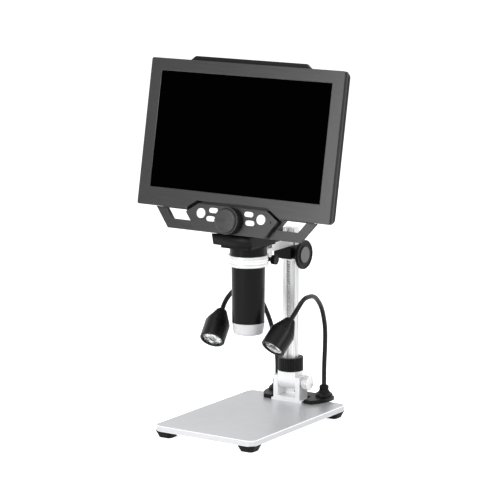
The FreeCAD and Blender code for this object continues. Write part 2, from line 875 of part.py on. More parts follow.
def lens_sleeve():
    """The sliding sleeve with the lens, and the flat bar that the focus roller drives."""
    top = sleeve_bottom + sleeve_length
    outer = barrel_bore - slide_gap
    inner = outer - sleeve_wall
    ledge = inner - objective_rim
    profile = [(ledge, sleeve_bottom), (outer, sleeve_bottom), (outer, top), (inner, top),
               (inner, sleeve_bottom + sleeve_wall), (ledge, sleeve_bottom + sleeve_wall)]
    solid = turned(profile, point(0, ring_center_y, 0))
    bar_x = roller_radius + running_gap
    foot = sleeve_bottom + sleeve_length - sleeve_wall
    bar = block((bar_x, bar_x + focus_bar_width), roller_bar_y(), (foot, focus_bar_top))
    bridge = block((bar_x, outer - 1.0), roller_bar_y(), (foot, top))
    bridge = bridge.common(rod(outer - 1.0, point(0, ring_center_y, foot), point(0, ring_center_y, top)))
    return joined([solid, bridge, bar])


def roller_bar_y():
    """The depth range of the bar, centred on the roller."""
    y = dial_axis_point(roller_depth).y
    return (y - focus_bar_depth / 2, y + focus_bar_depth / 2)


def objective_lens():
    """The double-bulged glass lens whose flat rim lies on the sleeve's ledge."""
    bottom = sleeve_bottom + sleeve_wall
    radius = barrel_bore - slide_gap - sleeve_wall - fit_gap
    bulge_radius = radius - objective_rim
    disc = rod(radius, ORIGIN, point(0, 0, objective_edge))
    ball_radius = (bulge_radius ** 2 + objective_bulge ** 2) / (2 * objective_bulge)
    faces = []
    for level, side in ((0.0, -1), (objective_edge, 1)):
        ball = Part.makeSphere(ball_radius, point(0, 0, level + side * (objective_bulge - ball_radius)))
        half_space = centred_block(2 * radius, 2 * radius, sorted((level, level + side * radius)))
        faces.append(ball.common(half_space))
    solid = joined([disc] + faces)
    solid.translate(point(0, ring_center_y, bottom))
    return solid


def head_flange():
    """The square step between the barrel's neck and the head housing."""
    half = flange_width / 2
    solid = plate(rectangle((-half, half), (flange_front, flange_back)), (neck_top, flange_top), flange_corner)
    return solid.cut(rod(barrel_bore, point(0, ring_center_y, neck_top - free_gap),
                         point(0, ring_center_y, flange_top + free_gap)))


def head_profile(inset):
    """The head housing's side profile, drawn in by a wall's thickness."""
    frame_low = monitor_point(0, frame_bottom, frame_back)
    frame_high = monitor_point(0, (frame_top + frame_flange_top) / 2 + 7.0, frame_back)
    lip = monitor_point(0, frame_bottom, frame_back + 6.0)
    if inset == 0:
        return [(head_front, flange_top), (head_back, flange_top), (head_back, head_shoulder_z),
                (head_top_back, frame_high.z), (frame_high.y, frame_high.z), (frame_low.y, frame_low.z - free_gap),
                (head_front, lip.z - free_gap)]
    top = frame_high.z - inset
    return [(head_front + inset, flange_top - free_gap), (head_back - inset, flange_top - free_gap),
            (head_back - inset, head_shoulder_z - inset), (head_top_back - inset, top),
            (frame_high.y + inset, top), (frame_low.y + inset, frame_low.z - inset),
            (head_front + inset, lip.z - inset)]


def head_housing():
    """The hollow block between the barrel and the monitor."""
    solid = side_plate(head_profile(0), head_width / 2)
    uprights = [edge for edge in solid.Edges
                if abs(abs(edge.CenterOfMass.x) - head_width / 2) < fit_gap and is_upright(edge)]
    solid = solid.makeFillet(head_corner, uprights)
    solid = solid.cut(side_plate(head_profile(head_wall), head_width / 2 - head_wall))
    return solid.cut(focus_shaft_hole())


def is_upright(edge):
    """Whether an edge runs straight up."""
    low = edge.Vertexes[0].Point
    high = edge.Vertexes[-1].Point
    return abs(low.x - high.x) < fit_gap and abs(low.y - high.y) < fit_gap and abs(low.z - high.z) > fit_gap


def sensor_board():
    """The image sensor's board on the flange, with a notch for the focus bar."""
    size_x, size_y, thickness = sensor_board_size
    solid = centred_block(size_x, size_y, (flange_top, flange_top + thickness), (0, ring_center_y))
    chip_x, chip_y, chip_height = sensor_size
    chip = centred_block(chip_x, chip_y, (flange_top - chip_height, flange_top), (0, ring_center_y))
    notch_y = roller_bar_y()
    bar_x = roller_radius + running_gap
    notch = block((bar_x - free_gap, bar_x + focus_bar_width + free_gap), (notch_y[0] - free_gap,
                  notch_y[1] + free_gap), (flange_top - free_gap, flange_top + thickness + free_gap))
    return joined([solid, chip]).cut(notch)


def monitor_point(across, up, out):
    """A place on the monitor in the whole object's axes."""
    return monitor_place.multVec(point(across, up, out))


def on_monitor(shape):
    """A shape drawn in the monitor's axes, carried to its place."""
    return moved(shape, monitor_place)


def dial_axis_point(out):
    """A point on the focus dial's axis."""
    return monitor_point(0, dial_b, out)


def focus_shaft_hole():
    """The clearance hole for the focus shaft through the head housing."""
    return rod(focus_shaft_radius + free_gap, dial_axis_point(frame_back + free_gap),
               dial_axis_point(frame_back - 3 * head_wall))


def case_outline(grow=0.0):
    """The monitor's outline with the notch over the control panel, drawn in by a wall."""
    half = bezel_width / 2 - grow
    low = bezel_bottom + grow
    high = bezel_top - grow
    notch_low = notch_width / 2 + grow
    notch_high = notch_top_width / 2 + grow * 0.7
    notch_b = bezel_bottom + notch_height + grow
    corners = [(-half, low), (-notch_low, low), (-notch_high, notch_b), (notch_high, notch_b), (notch_low, low),
               (half, low), (half, high), (-half, high)]
    corner = max(bezel_corner - grow, 1.0)
    return corners, [corner, 0, 0, 0, 0, corner, corner, corner]


def case_screw_places():
    """Where the six case screws go."""
    across = bezel_width / 2 - case_screw_side
    return [(side * across, b) for side in (-1, 1) for b in case_screw_rows]


def front_bezel():
    """The front frame of the monitor with its window and screw bosses."""
    corners, radii = case_outline()
    solid = plate(corners, (bezel_back, bezel_front), radii)
    corners, radii = case_outline(shell_wall)
    pocket = plate(corners, (bezel_back - free_gap, 0.0), radii)
    for a, b in case_screw_places():
        pocket = pocket.cut(rod(case_screw_boss_radius, point(a, b, bezel_back - 1), point(a, b, 0)))
    solid = solid.cut(pocket)
    half_w = window_width / 2
    half_h = window_height / 2
    solid = solid.cut(plate(rectangle((-half_w, half_w), (-half_h, half_h)), (-free_gap, bezel_front + free_gap)))
    for a, b in case_screw_places():
        solid = solid.cut(rod(case_screw_radius + screw_hole_gap, point(a, b, bezel_back - 1), point(a, b, -1)))
    return on_monitor(solid)


def screen_glass():
    """The cover glass behind the bezel's window."""
    half_w = window_width / 2 + glass_overlap
    half_h = window_height / 2 + glass_overlap / 2
    return on_monitor(block((-half_w, half_w), (-half_h, half_h), (-glass_thickness, 0)))


def lcd_panel():
    """The display panel behind the glass."""
    width, height, depth = lcd_size
    return on_monitor(centred_block(width, height, (-glass_thickness - depth, -glass_thickness)))


def bulge(inset, back, edge_back):
    """The raised middle of the rear cover."""
    half = bulge_width / 2 - inset
    sections = []
    for shrink, n in ((0.0, edge_back), (bulge_draft, back)):
        section = outline(rectangle((-half + shrink, half - shrink), (bulge_bottom + inset + shrink,
                                                                      bulge_top - inset - shrink)), bezel_corner)
        section.translate(point(0, 0, n))
        sections.append(section)
    return Part.makeLoft(sections, True, True)


def rear_cover():
    """The hollow back of the monitor with its raised middle, top tab, vents and posts."""
    corners, radii = case_outline()
    skin = plate(corners, (case_edge_back, bezel_back), radii)
    tab = plate([(-tab_width / 2, bezel_top - shell_wall), (tab_width / 2, bezel_top - shell_wall),
                 (tab_width / 2, bezel_top), (tab_top_width / 2, bezel_top + tab_height),
                 (-tab_top_width / 2, bezel_top + tab_height), (-tab_width / 2, bezel_top)],
                (case_edge_back, bezel_back))
    solid = skin.fuse(tab).fuse(bulge(0.0, bulge_back, case_edge_back))
    corners, radii = case_outline(shell_wall)
    pocket = plate(corners, (case_edge_back + shell_wall, bezel_back + free_gap), radii)
    for a, b in case_screw_places():
        pocket = pocket.cut(rod(case_screw_boss_radius, point(a, b, case_edge_back), point(a, b, 0)))
    room = bulge(shell_wall, bulge_back + shell_wall, case_edge_back + shell_wall)
    solid = solid.cut(pocket).cut(room)
    for a, b in board_post_places():
        post = rod(board_post_radius, point(a, b, bulge_back + shell_wall / 2),
                   point(a, b, bulge_back + shell_wall + board_post_height))
        solid = solid.fuse(post)
    for i in range(vent_count):
        b = vent_bottom + i * vent_pitch
        for side in (-1, 1):
            center = (side * vent_size[0], b)
            solid = solid.cut(centred_block(vent_size[0], vent_size[1], (bulge_back - 1, bulge_back + shell_wall + 1),
                                            center))
    for a, b in case_screw_places():
        seat = point(a, b, case_edge_back + case_screw_head_height)
        solid = solid.cut(screw_recess(seat, (0, 0, 1), 2, case_screw_head_radius))
        solid = solid.cut(screw_hole(seat, (0, 0, 1), -case_edge_back, case_screw_radius))
    return on_monitor(solid.removeSplitter())


def board_post_places():
    """Where the main board's posts stand."""
    a = main_board_size[0] / 2 - board_post_inset
    low = main_board_low() + board_post_inset
    high = main_board_low() + main_board_size[1] - board_post_inset
    return [(side * a, b) for side in (-1, 1) for b in (low, high)]


def main_board_low():
    """The main board's lower edge."""
    return battery_b + battery_size[1] / 2 + free_gap * 3


def main_board():
    """The main circuit board on the rear cover's posts, with its larger parts."""
    width, height, thickness = main_board_size
    back = bulge_back + shell_wall + board_post_height
    low = main_board_low()
    pieces = [block((-width / 2, width / 2), (low, low + height), (back, back + thickness))]
    for a, b, size_a, size_b, rise in ((-20, 20, 16, 16, 1.5), (15, 28, 12, 10, 1.2), (40, 50, 18, 8, 2.0)):
        pieces.append(centred_block(size_a, size_b, (back + thickness, back + thickness + rise), (a, low + b)))
    return on_monitor(joined(pieces))


def battery():
    """The flat battery on the rear cover's inner face."""
    width, height, depth = battery_size
    back = bulge_back + shell_wall
    return on_monitor(centred_block(width, height, (back, back + depth), (0, battery_b)))


def case_screws():
    """The six screws that join the rear cover to the bezel."""
    screws = []
    for a, b in case_screw_places():
        seat = point(a, b, case_edge_back + case_screw_head_height)
        length = -case_edge_back - case_screw_head_height - 1.5
        screws.append(on_monitor(screw(seat, (0, 0, 1), length, case_screw_radius, case_screw_head_radius,
                                       case_screw_head_height)))
    return screws


def wing_frame():
    """The frame under the monitor with its two windows and the flange behind the case."""
    half_top = frame_top_width / 2
    half_low = frame_bottom_width / 2
    solid = plate([(-half_low, frame_bottom), (half_low, frame_bottom), (half_top, frame_top), (-half_top, frame_top)],
                  (frame_back, frame_front))
    half = frame_flange_width / 2
    flange = block((-half, half), (frame_top - 1, frame_flange_top), (frame_back, case_edge_back))
    solid = joined([solid, flange])
    for side in (-1, 1):
        window = plate([(side * a, b) for a, b in window_outline][::side], (frame_back - 1, frame_front + 1))
        solid = solid.cut(window)
    shaft = rod(focus_shaft_radius + running_gap, point(0, dial_b, frame_back - 1), point(0, dial_b, frame_front + 1))
    return on_monitor(solid.cut(shaft))


def panel_outline(inset):
    """The control panel's six-sided outline, drawn in by a wall."""
    top = panel_top - inset
    low = panel_bottom + inset
    flat = panel_flat_width / 2 - inset * 0.6
    tip = panel_point_width / 2 - inset * 1.5
    return [(-flat, low), (flat, low), (tip, panel_point_b), (flat, top), (-flat, top), (-tip, panel_point_b)]


def button_places():
    """Each button's name, its kind and its place on the panel."""
    places = []
    for name, side in (("left", -1), ("right", 1)):
        places.append((name + "_round_button", "round", (side * round_button_place[0], round_button_place[1])))
        places.append((name + "_upper_button", "pill", (side * upper_pill_place[0], upper_pill_place[1])))
        places.append((name + "_lower_button", "pill", (side * lower_pill_place[0], lower_pill_place[1])))
    return places


def button_form(kind, place, grow, n_range):
    """A round or a pill-shaped prism on the panel, grown by a gap."""
    a, b = place
    if kind == "round":
        return rod(round_button_radius + grow, point(a, b, n_range[0]), point(a, b, n_range[1]))
    half = pill_length / 2 - pill_width / 2
    end = pill_width / 2 + grow
    straight = block((a - half, a + half), (b - end, b + end), n_range)
    ends = [rod(end, point(a + side * half, b, n_range[0]), point(a + side * half, b, n_range[1]))
            for side in (-1, 1)]
    return joined([straight] + ends)


def control_panel():
    """The six-sided panel that carries the buttons and the focus dial."""
    solid = plate(panel_outline(0.0), (frame_front, 0.0))
    solid = solid.cut(plate(panel_outline(panel_side_wall), (frame_front - free_gap, -panel_wall)))
    bearing = rod(focus_shaft_radius + 2.0, point(0, dial_b, frame_front), point(0, dial_b, -panel_wall))
    solid = joined([solid, bearing])
    for _, kind, place in button_places():
        solid = solid.cut(button_form(kind, place, button_gap, (-panel_wall - 1, 1)))
    a, b = microphone_place
    solid = solid.cut(rod(microphone_radius, point(a, b, -panel_wall - 1), point(a, b, 1)))
    shaft = rod(focus_shaft_radius + running_gap, point(0, dial_b, frame_front - 1), point(0, dial_b, 1))
    return on_monitor(solid.cut(shaft))


def push_button(kind, place):
    """A button with the thin flange that keeps it behind the panel."""
    back = -panel_wall - button_flange_height
    cap = button_form(kind, place, 0.0, (back, button_proud))
    flange = button_form(kind, place, button_flange, (back, -panel_wall))
    return on_monitor(joined([cap, flange]))


def button_board():
    """The circuit board under the buttons, with a switch below each."""
    width, height = button_board_size
    middle = (panel_top + panel_bottom) / 2
    front = frame_front + button_board_thickness
    pieces = [centred_block(width, height, (frame_front, front), (0, middle))]
    top = -panel_wall - button_flange_height - button_travel - slide_gap
    for _, _, place in button_places():
        pieces.append(centred_block(switch_size, switch_size, (front, top), place))
    solid = joined(pieces)
    hole = rod(focus_shaft_radius + 2.0 + free_gap, point(0, dial_b, frame_front - 1), point(0, dial_b, top))
    return on_monitor(solid.cut(hole))


def focus_dial():
    """The large toothed dial with a smooth face."""
    rim_top = dial_gap + dial_rim_height
    rim = ribbed(dial_radius, dial_tooth_depth, dial_teeth, (dial_gap, rim_top))
    top = dial_gap + dial_height
    face = turned([(0, dial_gap), (dial_radius - dial_tooth_depth - 0.3, rim_top - 1),
                   (dial_radius - dial_tooth_depth - 0.3, rim_top), (dial_face_radius, top - 0.8),
                   (dial_face_radius - 1.2, top - 0.2), (0, top)])
    solid = joined([rim, face])
    bore = rod(focus_shaft_radius + fit_gap, point(0, 0, dial_gap - 1), point(0, 0, top - focus_shaft_blind))
    solid = solid.cut(bore)
    solid.translate(point(0, dial_b, 0))
    return on_monitor(solid)


def focus_shaft():
    """The shaft that runs from the dial back into the head housing."""
    start = dial_gap + dial_height - focus_shaft_blind
    end = roller_depth - roller_width / 2 - 1.0
    return rod(focus_shaft_radius, dial_axis_point(end), dial_axis_point(start))


def focus_roller():
    """The crowned friction roller on the shaft's end."""
    half = roller_width / 2
    edge = roller_radius - roller_crown
    bore = focus_shaft_radius + fit_gap
    profile = [(bore, -half), (edge, -half), (roller_radius, 0), (edge, half), (bore, half)]
    solid = turned(profile)
    solid.translate(point(0, dial_b, roller_depth))
    return on_monitor(solid)


def lamp_base():
    """The low black foot of the two lamps, wrapped round the bracket."""
    solid = rod(lamp_base_radius, point(0, lamp_base_y, plate_top), point(0, lamp_base_y, lamp_base_top))
    reach = lamp_base_radius + 1
    solid = solid.common(block((-reach, reach), (lamp_base_front, lamp_base_back), (plate_top, lamp_base_top)))
    notch_x, notch_y = lamp_base_notch
    solid = solid.cut(block((-notch_x, notch_x), (lamp_base_front - 1, notch_y), (plate_top - 1, lamp_base_top + 1)))
    foot_x, foot_y, _ = neck_route[0]
    for side in (-1, 1):
        base = point(side * foot_x, foot_y, 0)
        pod = turned([(0, plate_top), (pod_radius, plate_top), (pod_radius, pod_top - pod_round),
                      (pod_radius - pod_round * 0.3, pod_top - pod_round * 0.3), (pod_radius - pod_round, pod_top),
                      (0, pod_top)], base)
        pod = pod.common(block((-reach, reach), (lamp_base_front, lamp_base_back), (plate_top, pod_top)))
        solid = solid.fuse(pod)
        solid = solid.cut(rod(neck_tube_radius + slide_gap, base + point(0, 0, pod_top - neck_sink),
                              base + point(0, 0, pod_top + 1)))
    for head_at, length in plate_screws()[1::2]:
        solid = solid.cut(screw_hole(head_at, (0, 0, 1), length))
    return solid.removeSplitter()


def strain_relief():
    """The right-hand flared rubber sleeve where a gooseneck leaves the base."""
    foot_x, foot_y, _ = neck_route[0]
    bore = neck_tube_radius + slide_gap
    bevel = 0.6
    profile = [(bore, pod_top), (relief_flare_radius, pod_top), (relief_radius + bevel, pod_top + relief_flare_height
               / 2), (relief_radius - bevel / 2, pod_top + relief_flare_height), (relief_radius, pod_top
               + relief_flare_height + bevel), (relief_radius, pod_top + relief_height - bevel),
               (relief_radius - bevel, pod_top + relief_height), (bore, pod_top + relief_height)]
    return turned(profile, point(foot_x, foot_y, 0))


def lamp_back():
    """The direction from the right lamp's opening back to its neck."""
    return (point(*neck_route[-2]) - point(*neck_route[-1])).normalize()


def neck_path():
    """The gooseneck's centre line: straight runs with an arc in each bend, and the bend radii."""
    route = [point(*place) for place in neck_route]
    route[0] = point(route[0].x, route[0].y, pod_top - neck_sink)
    route[-1] = route[-1] - lamp_back() * neck_entry
    edges = []
    radii = []
    last = route[0]
    for i in range(1, len(route) - 1):
        before = route[i - 1] - route[i]
        after = route[i + 1] - route[i]
        reach = neck_bend_share * min(before.Length, after.Length)
        half_turn = (math.pi - before.getAngle(after)) / 2
        radius = reach / math.tan(half_turn)
        before.normalize()
        after.normalize()
        start = route[i] + before * reach
        end = route[i] + after * reach
        middle = route[i] + (before + after).normalize() * (radius / math.cos(half_turn) - radius)
        edges.append(Part.makeLine(last, start))
        edges.append(Part.Arc(start, middle, end).toShape())
        radii.append(radius)
        last = end
    edges.append(Part.makeLine(last, route[-1]))
    return Part.Wire(edges), radii


def lamp_neck():
    """The right-hand gooseneck as one tube along its route."""
    path, radii = neck_path()
    start = path.Edges[0].Vertexes[0].Point
    profile = Part.Wire([Part.makeCircle(neck_tube_radius, start, Z_AXIS)])
    solid = path.makePipeShell([profile], True, False)
    share = solid.Volume / (math.pi * neck_tube_radius ** 2 * path.Length)
    print("gooseneck length", round(path.Length, 1), "volume over section times length", round(share, 4))
    print("gooseneck bend radii", [round(radius, 1) for radius in radii])
    return solid


def lamp_placed(shape):
    """A shape drawn along Z from a lamp's opening, carried to the right lamp's place."""
    tip = point(*neck_route[-1])
    front = tip - lamp_back() * lamp_length()
    return moved(shape, FreeCAD.Placement(front, FreeCAD.Rotation(Z_AXIS, lamp_back())))


def lamp_length():
    """The whole length of a lamp head."""
    return lamp_body_length + lamp_groove[0] + lamp_cone_length


def lamp_head():
    """The lamp's ribbed black head, open at the front."""
    groove_width, groove_depth = lamp_groove
    inner = lamp_radius - lamp_rim
    seat = lamp_lens_recess + lamp_lens_thickness
    floor = seat + lamp_cavity_depth
    edge = 0.6
    profile = [(0, floor), (inner - 1.0, floor), (inner - 1.0, seat), (inner, seat), (inner, edge),
               (inner + edge, 0), (lamp_radius - edge, 0), (lamp_radius, edge),
               (lamp_radius, lamp_body_length - edge), (lamp_radius - edge, lamp_body_length),
               (lamp_radius - groove_depth, lamp_body_length),
               (lamp_radius - groove_depth, lamp_body_length + groove_width)]
    cone_start = lamp_body_length + groove_width
    step = lamp_cone_length / lamp_fins
    for i in range(lamp_fins):
        low = cone_start + i * step
        share = i / lamp_fins
        radius = lamp_cone_radius + (lamp_tip_radius - lamp_cone_radius) * share
        next_radius = lamp_cone_radius + (lamp_tip_radius - lamp_cone_radius) * (i + 1) / lamp_fins
        profile += [(radius, low), (radius, low + lamp_fin_height), (next_radius - 0.4, low + lamp_fin_height + 0.3),
                    (next_radius - 0.4, low + step)]
    profile[-1] = (lamp_tip_radius, lamp_length())
    profile.append((0, lamp_length()))
    solid = turned(profile)
    bore = rod(neck_tube_radius + fit_gap, point(0, 0, lamp_length() - neck_entry), point(0, 0, lamp_length() + 1))
    return lamp_placed(solid.cut(bore))


def lamp_lens():
    """The clear cover in the lamp's opening."""
    radius = lamp_radius - lamp_rim - fit_gap
    return lamp_placed(rod(radius, point(0, 0, lamp_lens_recess),
                           point(0, 0, lamp_lens_recess + lamp_lens_thickness)))


def lamp_led():
    """The lamp's round board with its lights."""
    floor = lamp_lens_recess + lamp_lens_thickness + lamp_cavity_depth
    thickness = 1.6
    pieces = [rod(lamp_radius - lamp_rim - 1.0 - fit_gap, point(0, 0, floor - thickness), point(0, 0, floor))]
    circle = (lamp_radius - lamp_rim) / 2
    for i in range(lamp_led_count):
        angle = 2 * math.pi * i / lamp_led_count
        center = (circle * math.cos(angle), circle * math.sin(angle))
        pieces.append(centred_block(lamp_led_size, lamp_led_size, (floor - thickness - lamp_led_size / 2,
                                                                   floor - thickness), center))
    return lamp_placed(joined(pieces))


def all_nodes():
    """Every node's name with its solids."""
    nodes = {
        "base_plate": [base_plate()],
        "base_feet": base_feet(),
        "foot_screws": foot_screws(),
        "hinge_bracket": [hinge_bracket()],
        "bracket_screws": bracket_screws(),
        "lamp_base": [lamp_base()],
        "lamp_base_screws": lamp_base_screws(),
        "tilt_block": [tilt_block()],
        "column": [column()],
        "column_rack": [column_rack()],
        "column_collar": [column_collar()],
        "tilt_pin": [tilt_pin()],
        "tilt_clamp_knob": [tilt_clamp_knob()],
        "carriage": [carriage()],
        "carriage_liner": [carriage_liner()],
        "holder_arm": [holder_arm()],
        "arm_screws": arm_screws(),
        "holder_ring": [holder_ring()],
        "ring_thumb_screw": [ring_thumb_screw()],
        "pinion_shaft": [pinion_shaft()],
        "height_knob": [height_knob()],
        "knob_cap": [knob_cap()],
        "barrel_tube": [barrel_tube()],
        "diffuser": [diffuser()],
        "led_ring": [led_ring()],
        "lens_sleeve": [lens_sleeve()],
        "objective_lens": [objective_lens()],
        "head_flange": [head_flange()],
        "head_housing": [head_housing()],
        "sensor_board": [sensor_board()],
        "front_bezel": [front_bezel()],
        "screen_glass": [screen_glass()],
        "lcd_panel": [lcd_panel()],
        "rear_cover": [rear_cover()],
        "main_board": [main_board()],
        "battery": [battery()],
        "case_screws": case_screws(),
        "wing_frame": [wing_frame()],
        "control_panel": [control_panel()],
        "button_board": [button_board()],
        "focus_dial": [focus_dial()],
        "focus_shaft": [focus_shaft()],
        "focus_roller": [focus_roller()],
    }
    for name, kind, place in button_places():
        nodes[name] = [push_button(kind, place)]
    lamp_parts = {"strain_relief": strain_relief(), "lamp_neck": lamp_neck(), "lamp_head": lamp_head(),
                  "lamp_lens": lamp_lens(), "lamp_led": lamp_led()}
    for name, solid in lamp_parts.items():
        nodes["right_" + name] = [solid]
        nodes["left_" + name] = [mirrored(solid)]
    return nodes


def save(name, solids):
    """Write one node, moved so that the origin is under the middle of the footprint."""
    shape = solids[0] if len(solids) == 1 else Part.makeCompound(solids)
    shape = moved(shape, FreeCAD.Placement(point(0, -rear_overhang / 2, 0), FreeCAD.Rotation()))
    shape.exportStep(os.path.join("parts", name + ".step"))


os.makedirs("parts", exist_ok=True)
for node_name, node_solids in all_nodes().items():
    save(node_name, node_solids)
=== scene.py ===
import bmesh
import bpy
import json
import math
from mathutils import Matrix, Vector


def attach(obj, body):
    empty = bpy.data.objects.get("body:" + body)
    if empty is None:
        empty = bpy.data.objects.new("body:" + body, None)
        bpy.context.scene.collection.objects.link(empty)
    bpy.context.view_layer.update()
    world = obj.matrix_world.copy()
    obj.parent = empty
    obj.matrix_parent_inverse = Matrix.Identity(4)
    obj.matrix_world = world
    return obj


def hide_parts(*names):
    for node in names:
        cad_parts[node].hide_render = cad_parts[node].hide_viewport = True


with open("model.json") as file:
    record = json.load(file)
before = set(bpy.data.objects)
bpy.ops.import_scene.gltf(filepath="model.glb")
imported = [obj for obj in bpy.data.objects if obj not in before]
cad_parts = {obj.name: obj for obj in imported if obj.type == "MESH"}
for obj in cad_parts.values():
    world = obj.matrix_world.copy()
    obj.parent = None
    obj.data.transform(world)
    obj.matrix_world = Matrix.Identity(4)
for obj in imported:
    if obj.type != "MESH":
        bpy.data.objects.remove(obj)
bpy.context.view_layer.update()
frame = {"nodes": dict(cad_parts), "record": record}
nodes = frame["nodes"]

# The photograph's camera, in degrees and metres, and where its target falls in the 500 pixel frame
CAMERA_AZIMUTH = 33.371
CAMERA_ELEVATION = 10.254
CAMERA_DISTANCE = 2.4612
CAMERA_TARGET = Vector((0.0, -0.005, 0.200))
CAMERA_LENS = 180.4
CAMERA_SHIFT = (-0.0031, -0.0420)

# The monitor's tilt and the middle of its screen
SCREEN_TILT = math.radians(11.055)
SCREEN_MIDDLE = Vector((0.0, -0.02608, 0.29486))
SCREEN_UP = Vector((0.0, math.sin(SCREEN_TILT), math.cos(SCREEN_TILT)))
SCREEN_OUT = Vector((0.0, -math.cos(SCREEN_TILT), math.sin(SCREEN_TILT)))

# The lamps: place, target, size and power
LAMPS = {
    "key_light": ((-0.17, -0.84, 0.40), (0.06, -0.02, 0.26), (0.10, 0.55), 5.2),
    "right_light": ((1.50, -0.15, 0.70), (0.0, 0.0, 0.20), (0.30, 1.10), 6.0),
    "front_light": ((1.00, -1.50, 1.30), (0.0, 0.0, 0.15), (0.80, 0.80), 4.0),
    "left_light": ((-1.40, 0.30, 0.60), (0.0, 0.0, 0.20), (0.30, 1.10), 2.0),
    "top_light": ((0.10, 0.00, 1.60), (0.0, 0.0, 0.10), (1.20, 1.20), 9.0),
    "back_light": ((0.20, 1.50, 0.80), (0.0, 0.0, 0.20), (1.20, 0.80), 2.5),
}
WORLD_LEVEL = 0.42

# The floor: half its side in metres, and the glow that makes it white to the camera
FLOOR_HALF = 12.0
FLOOR_LIFT = 0.78

# The monitor's front frame and the frame under it, in millimetres on the monitor's axes: heights go up the
# screen from its middle, and depths come out of the screen from its face
BEZEL_HALF_WIDTH = 112.0
BEZEL_LOW = -76.0
BEZEL_HIGH = 70.0
BEZEL_CORNER = 2.2
BEZEL_FRONT = 1.0
BEZEL_BACK = -5.0
BEZEL_BEVEL = 0.35
NOTCH_HEIGHT = 9.3
NOTCH_LOW_HALF = 55.5
NOTCH_TOP_HALF = 41.0
NOTCH_WALL_SHARE = 0.7
WINDOW_HALF_WIDTH = 98.8
WINDOW_HALF_HEIGHT = 57.7
SHELL_WALL = 2.2
FRAME_LOW = -96.5
FRAME_TOP = -76.3
FRAME_LOW_HALF = 77.6
FRAME_TOP_HALF = 93.8
FRAME_RIM = 5.0
FRAME_APRON_TOP = -70.0
FRAME_FRONT = -6.7
FRAME_STEP = -9.0
FRAME_BACK = -12.2
TAIL_HALF_WIDTH = 60.0
TAIL_TOP = -58.0
TAIL_LAP = 1.0
FRAME_WINDOW = ((57.5, -76.9), (81.6, -76.9), (73.4, -87.0), (49.6, -87.0))
PANEL_TOP = -69.2
PANEL_LOW = -96.1
PANEL_FLAT = 39.8
PANEL_TIP = 53.6
PANEL_TIP_PLACE = -78.6
PANEL_FACE_BACK = -1.9
PANEL_BACK = -6.65
PANEL_BEVEL = 0.3
PANEL_INNER_WIDTH = 0.965
PANEL_INNER_HEIGHT = 0.84
MICROPHONE_PLACE = (45.8, -80.0)
MICROPHONE_RADIUS = 0.7
DIAL_PLACE = -83.1
SHAFT_HOLE = 2.3

# The right-hand button openings: middle, half the straight length, and the radius of the ends
BUTTONS = (
    ((34.9, -78.5), 0.0, 5.1),
    ((20.5, -74.7), 2.5, 2.7),
    ((22.8, -83.0), 2.5, 2.7),
)

# The head's flared cover in a side view: millimetres back from the middle, and up from the table
COVER_FRONT = -38.6
COVER_BACK = 16.9
COVER_LOW = 187.7
COVER_BACK_TOP = 205.0
COVER_CREST = 233.6
COVER_CREST_BACK = -1.0
COVER_CREST_FRONT = -25.4
COVER_BROW = (-32.3, 197.4)
COVER_TIP = (-41.5, 199.1)
COVER_CORNER = 0.4
COVER_INNER = 21.4
COVER_OUTER = 22.9
LIP_WALL = 0.3
LIP_SHOULDER = 198.6

# The painted highlight in a lamp's lens, a bright ring: where it fades in and out, as shares of the lens's
# reach
RING_FADE_IN = (0.35, 0.55)
RING_FADE_OUT = (0.80, 0.92)

# Small amounts: the bevel of a plain rim and of a thin lip, how far joined slabs overlap, how far apart
# stepped ones stay, and a millimetre in metres
FINE_BEVEL = 0.1
LIP_BEVEL = 0.02
OVERLAP = 0.1
STEP_GAP = 0.05
MM = 0.001


# Material helpers

def material(name, color, roughness, metallic=0.0, specular=0.5):
    """A material with one shader."""
    mat = bpy.data.materials.new(name)
    mat.use_nodes = True
    shader = shader_of(mat)
    shader.inputs["Base Color"].default_value = (*color, 1.0)
    shader.inputs["Roughness"].default_value = roughness
    shader.inputs["Metallic"].default_value = metallic
    shader.inputs["Specular IOR Level"].default_value = specular
    return mat


def shader_of(mat):
    """A material's one shader."""
    return mat.node_tree.nodes["Principled BSDF"]


def add_node(mat, kind, **values):
    """A node with some of its inputs set."""
    node = mat.node_tree.nodes.new(kind)
    for name, value in values.items():
        node.inputs[name.replace("_", " ")].default_value = value
    return node


def link(mat, output, target):
    """Joins two sockets of a material."""
    mat.node_tree.links.new(output, target)


def coordinates(mat, stretch=(1.0, 1.0, 1.0)):
    """Object coordinates, stretched by a scale."""
    place = add_node(mat, "ShaderNodeTexCoord")
    mapping = add_node(mat, "ShaderNodeMapping", Scale=stretch)
    link(mat, place.outputs["Object"], mapping.inputs["Vector"])
    return mapping.outputs["Vector"]


def noise(mat, scale, detail=2.0, stretch=(1.0, 1.0, 1.0)):
    """A noise value from 0 to 1."""
    node = add_node(mat, "ShaderNodeTexNoise", Scale=scale, Detail=detail)
    link(mat, coordinates(mat, stretch), node.inputs["Vector"])
    return node.outputs["Fac"]


def spark(mat, scale):
    """The fine pebbled texture of an eroded mould."""
    node = add_node(mat, "ShaderNodeTexVoronoi", Scale=scale)
    node.feature = "SMOOTH_F1"
    link(mat, coordinates(mat), node.inputs["Vector"])
    return node.outputs["Distance"]


def blend_range(mat, value, low, high, out_low=0.0, out_high=1.0):
    """A value moved from one range to another, clamped."""
    node = mat.node_tree.nodes.new("ShaderNodeMapRange")
    limits = {"From Min": low, "From Max": high, "To Min": out_low, "To Max": out_high}
    for name, number in limits.items():
        node.inputs[name].default_value = number
    link(mat, value, node.inputs["Value"])
    return node.outputs["Result"]


